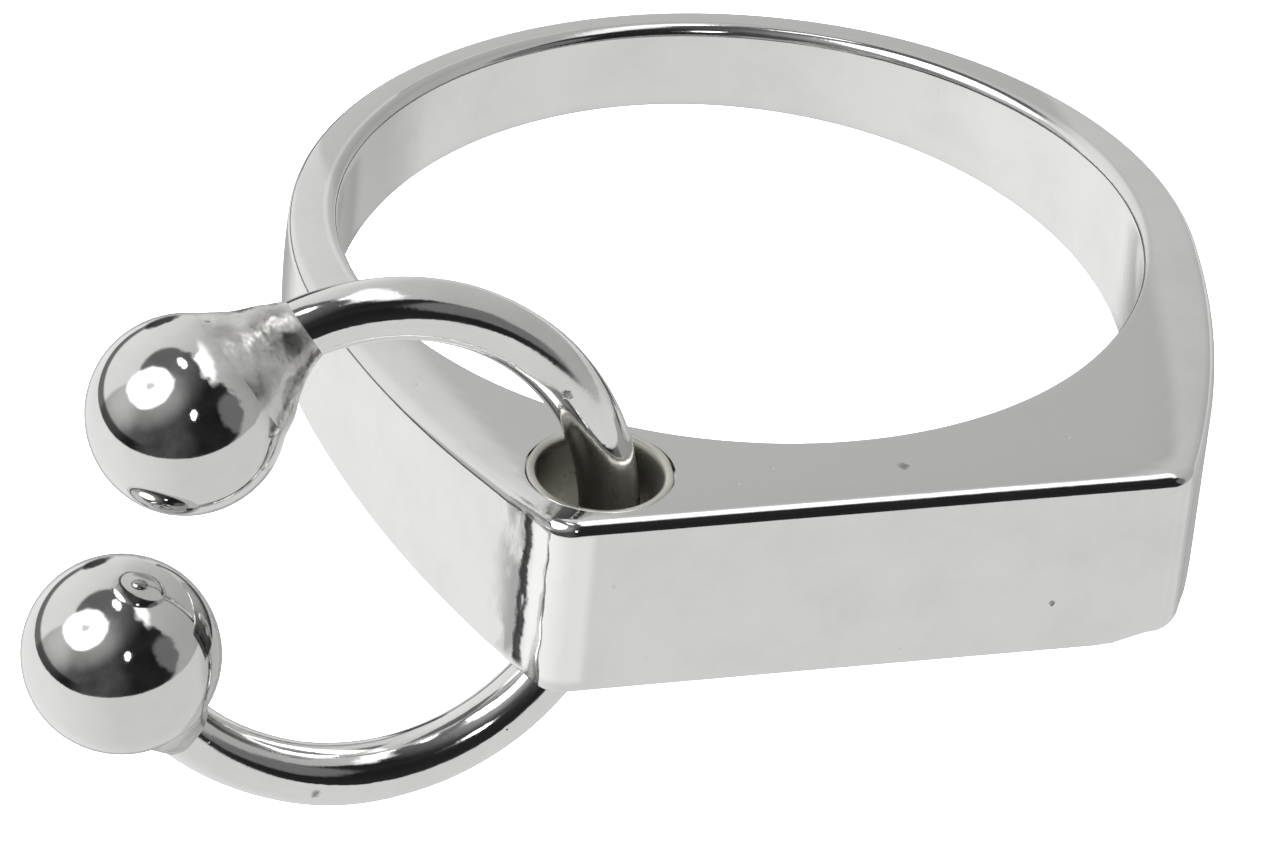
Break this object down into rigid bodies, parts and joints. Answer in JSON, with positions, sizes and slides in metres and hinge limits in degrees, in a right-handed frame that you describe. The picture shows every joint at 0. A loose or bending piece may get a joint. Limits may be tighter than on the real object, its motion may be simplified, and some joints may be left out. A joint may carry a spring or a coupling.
{
  "type": "finger ring with ball-ended hoop",
  "caption": "Finger ring with a flat front bar and a slim round back; an open wire hoop with a ball on each end runs through a lined hole in one end of the bar.",
  "frame": {"origin": "centre of the finger hole, halfway up the band", "axes": "+Z along the finger's axis, the flat front bar faces -Y, and the hoop is at the -X end of the bar"},
  "size_m": [0.0273, 0.0216, 0.0116],
  "materials": {
    "polished_silver": "hand-polished sterling silver with faint cloudy mottling and fine scratches",
    "dull_silver": "less polished, slightly warm silver inside a small hole",
    "wire_silver": "polished silver wire with light drawing marks",
    "mirror_silver": "mirror-polished silver",
    "solder_silver": "flowed silver solder, softly uneven"
  },
  "bodies": {
    "band": {"ring_band": "polished_silver"},
    "eyelet": {"hole_eyelet": "dull_silver"},
    "hoop": {"hoop_wire": "wire_silver", "upper_ball": "mirror_silver", "lower_ball": "mirror_silver", "upper_solder_collar": "solder_silver", "lower_solder_collar": "solder_silver"}
  },
  "joints": [
    {"name": "hoop_swing", "type": "hinge", "parent": "band", "child": "eyelet", "pos_m": [-0.00544, -0.00904, 0], "axis": [0, 0, 1], "range_deg": [-45, 140]},
    {"name": "hoop_feed", "type": "hinge", "parent": "eyelet", "child": "hoop", "pos_m": [-0.01026, -0.00922, 0.00079], "axis": [0.1011, -0.9787, 0.1788], "range_deg": [-85, 80]}
  ]
}
